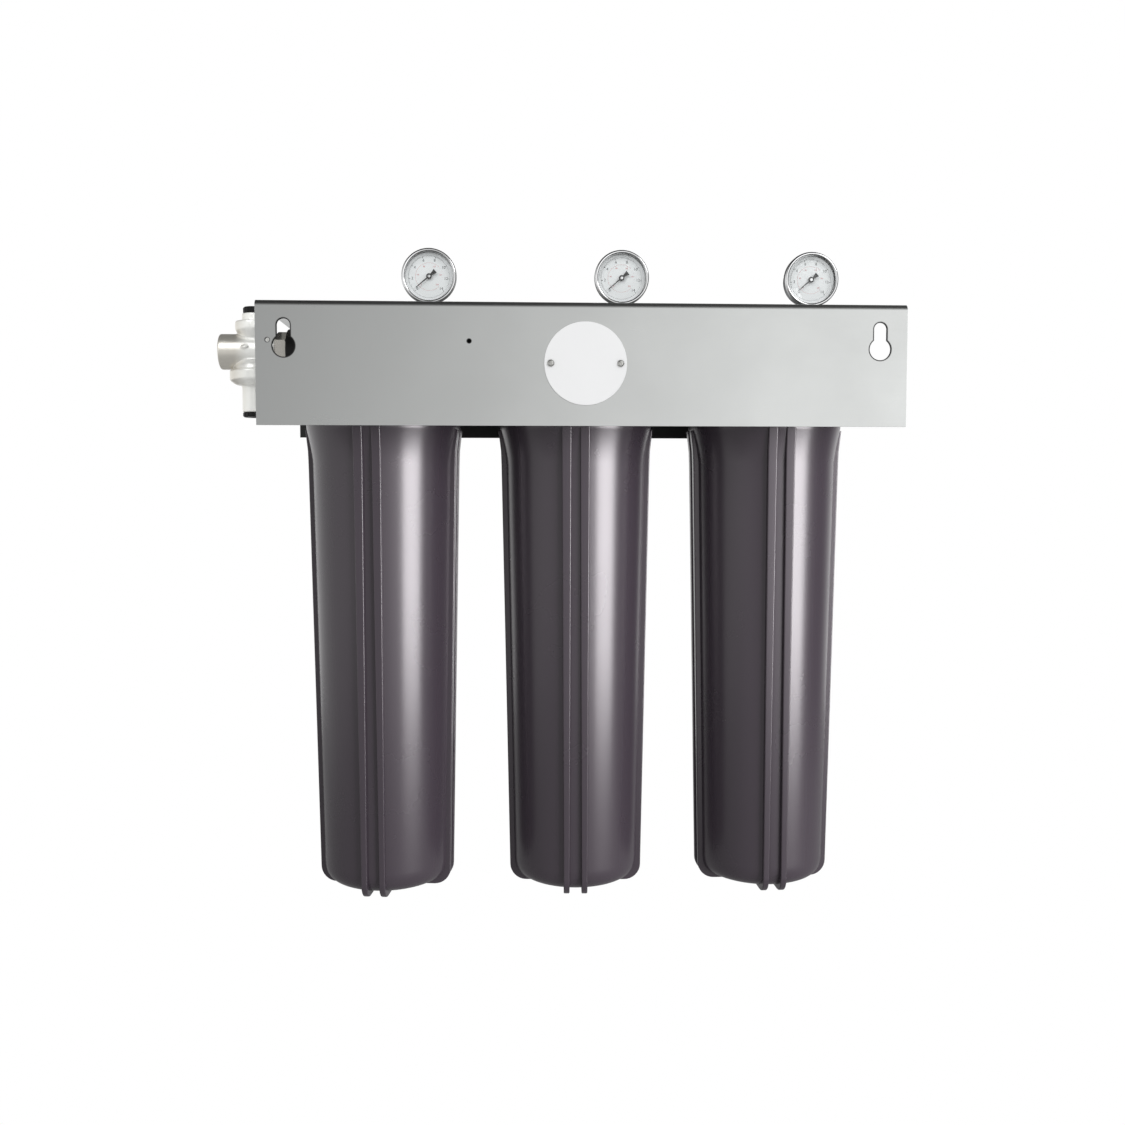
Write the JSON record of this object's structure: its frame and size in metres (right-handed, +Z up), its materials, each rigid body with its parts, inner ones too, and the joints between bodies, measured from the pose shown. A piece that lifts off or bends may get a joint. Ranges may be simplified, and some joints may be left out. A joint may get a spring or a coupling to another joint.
{
  "type": "whole house water filter",
  "caption": "Whole house water filter: tall ribbed cartridge housings in a row under a folded stainless wall bracket, with dial gauges on top and a pressure reducing valve at the inlet.",
  "frame": {"origin": "on the bracket's rear face, midway between its hanging keyholes, at the height of the wall screws", "axes": "+Z up, +Y into the wall, -Y to the front, +X to the right, towards the outlet"},
  "size_m": [0.6794, 0.2339, 0.6638],
  "materials": {
    "brushed_stainless": "brushed along the bracket's length",
    "white_plate": "satin white",
    "zinc_plated_steel": "bright zinc plate",
    "black_plastic": "moulded, fine matt",
    "anthracite_plastic": "moulded, semi-gloss",
    "black_rubber": "smooth",
    "filter_medium": "spun fibre, matt",
    "red_plastic": "moulded",
    "spring_steel": "drawn wire",
    "chrome": "polished",
    "clear_window": "clear",
    "brushed_nickel": "nickel plated, brushed",
    "plated_casting": "plated casting, satin",
    "brass": "turned"
  },
  "bodies": {
    "root": {"bracket": "brushed_stainless", "label_disc": "white_plate", "label_screw_left": "zinc_plated_steel", "label_screw_right": "zinc_plated_steel", "head_left": "black_plastic", "head_screw_left_1": "zinc_plated_steel", "head_screw_left_2": "zinc_plated_steel", "head_screw_left_3": "zinc_plated_steel", "head_screw_left_4": "zinc_plated_steel", "relief_spring_left": "spring_steel", "gauge_bezel_left": "chrome", "gauge_lens_left": "clear_window", "gauge_case_left": "chrome", "gauge_dial_left": "white_plate", "gauge_stem_left": "brass", "head_middle": "black_plastic", "head_screw_middle_1": "zinc_plated_steel", "head_screw_middle_2": "zinc_plated_steel", "head_screw_middle_3": "zinc_plated_steel", "head_screw_middle_4": "zinc_plated_steel", "relief_spring_middle": "spring_steel", "gauge_bezel_middle": "chrome", "gauge_lens_middle": "clear_window", "gauge_case_middle": "chrome", "gauge_dial_middle": "white_plate", "gauge_stem_middle": "brass", "head_right": "black_plastic", "head_screw_right_1": "zinc_plated_steel", "head_screw_right_2": "zinc_plated_steel", "head_screw_right_3": "zinc_plated_steel", "head_screw_right_4": "zinc_plated_steel", "relief_spring_right": "spring_steel", "gauge_bezel_right": "chrome", "gauge_lens_right": "clear_window", "gauge_case_right": "chrome", "gauge_dial_right": "white_plate", "gauge_stem_right": "brass", "link_nipple_left": "brushed_nickel", "link_nipple_right": "brushed_nickel", "inlet_nipple": "brushed_nickel", "valve_body": "plated_casting", "valve_cap": "black_plastic", "valve_spring": "spring_steel"},
    "cartridge_left": {"cartridge_left": "filter_medium"},
    "sump_left": {"sump_left": "anthracite_plastic", "sump_seal_left": "black_rubber"},
    "relief_button_left": {"relief_button_left": "red_plastic"},
    "gauge_pointer_left": {"gauge_pointer_left": "black_plastic"},
    "cartridge_middle": {"cartridge_middle": "filter_medium"},
    "sump_middle": {"sump_middle": "anthracite_plastic", "sump_seal_middle": "black_rubber"},
    "relief_button_middle": {"relief_button_middle": "red_plastic"},
    "gauge_pointer_middle": {"gauge_pointer_middle": "black_plastic"},
    "cartridge_right": {"cartridge_right": "filter_medium"},
    "sump_right": {"sump_right": "anthracite_plastic", "sump_seal_right": "black_rubber"},
    "relief_button_right": {"relief_button_right": "red_plastic"},
    "gauge_pointer_right": {"gauge_pointer_right": "black_plastic"},
    "valve_piston": {"valve_piston": "brass"},
    "valve_adjuster": {"valve_adjuster": "black_plastic"}
  },
  "joints": [
    {"name": "sump_lower_left", "type": "slide", "parent": "root", "child": "cartridge_left", "axis": [0, 0, -1], "range_m": [0, 0.0321]},
    {"name": "sump_turn_left", "type": "hinge", "parent": "cartridge_left", "child": "sump_left", "pos_m": [-0.2028, -0.115, -0.3], "axis": [0, 0, -1], "range_deg": [0, 1440]},
    {"name": "relief_press_left", "type": "slide", "parent": "root", "child": "relief_button_left", "axis": [0, 0, -1], "range_m": [0, 0.004], "stiffness_N_per_m": 800, "springref_m": -0.004, "deforming": ["relief_spring_left"]},
    {"name": "pointer_turn_left", "type": "hinge", "parent": "root", "child": "gauge_pointer_left", "pos_m": [-0.1548, -0.119, 0.0672], "axis": [0, 1, 0], "range_deg": [0, 265], "stiffness_Nm_per_rad": 0.0005},
    {"name": "sump_lower_middle", "type": "slide", "parent": "root", "child": "cartridge_middle", "axis": [0, 0, -1], "range_m": [0, 0.0321]},
    {"name": "sump_turn_middle", "type": "hinge", "parent": "cartridge_middle", "child": "sump_middle", "pos_m": [-0.0028, -0.115, -0.3], "axis": [0, 0, -1], "range_deg": [0, 1440]},
    {"name": "relief_press_middle", "type": "slide", "parent": "root", "child": "relief_button_middle", "axis": [0, 0, -1], "range_m": [0, 0.004], "stiffness_N_per_m": 800, "springref_m": -0.004, "deforming": ["relief_spring_middle"]},
    {"name": "pointer_turn_middle", "type": "hinge", "parent": "root", "child": "gauge_pointer_middle", "pos_m": [0.0452, -0.119, 0.0672], "axis": [0, 1, 0], "range_deg": [0, 265], "stiffness_Nm_per_rad": 0.0005},
    {"name": "sump_lower_right", "type": "slide", "parent": "root", "child": "cartridge_right", "axis": [0, 0, -1], "range_m": [0, 0.0321]},
    {"name": "sump_turn_right", "type": "hinge", "parent": "cartridge_right", "child": "sump_right", "pos_m": [0.1972, -0.115, -0.3], "axis": [0, 0, -1], "range_deg": [0, 1440]},
    {"name": "relief_press_right", "type": "slide", "parent": "root", "child": "relief_button_right", "axis": [0, 0, -1], "range_m": [0, 0.004], "stiffness_N_per_m": 800, "springref_m": -0.004, "deforming": ["relief_spring_right"]},
    {"name": "pointer_turn_right", "type": "hinge", "parent": "root", "child": "gauge_pointer_right", "pos_m": [0.2452, -0.119, 0.0672], "axis": [0, 1, 0], "range_deg": [0, 265], "stiffness_Nm_per_rad": 0.0005},
    {"name": "piston_slide", "type": "slide", "parent": "root", "child": "valve_piston", "axis": [0, 0, -1], "range_m": [0, 0.003], "stiffness_N_per_m": 6000, "springref_m": -0.003, "deforming": ["valve_spring"]},
    {"name": "adjuster_turn", "type": "hinge", "parent": "root", "child": "valve_adjuster", "pos_m": [-0.3355, -0.115, -0.0735], "axis": [0, 0, -1], "range_deg": [-540, 540]}
  ],
  "couplings": [
    {"joint": "sump_lower_left", "follows": "sump_turn_left", "m_per_rad": 0.0012732},
    {"joint": "sump_lower_middle", "follows": "sump_turn_middle", "m_per_rad": 0.0012732},
    {"joint": "sump_lower_right", "follows": "sump_turn_right", "m_per_rad": 0.0012732}
  ]
}
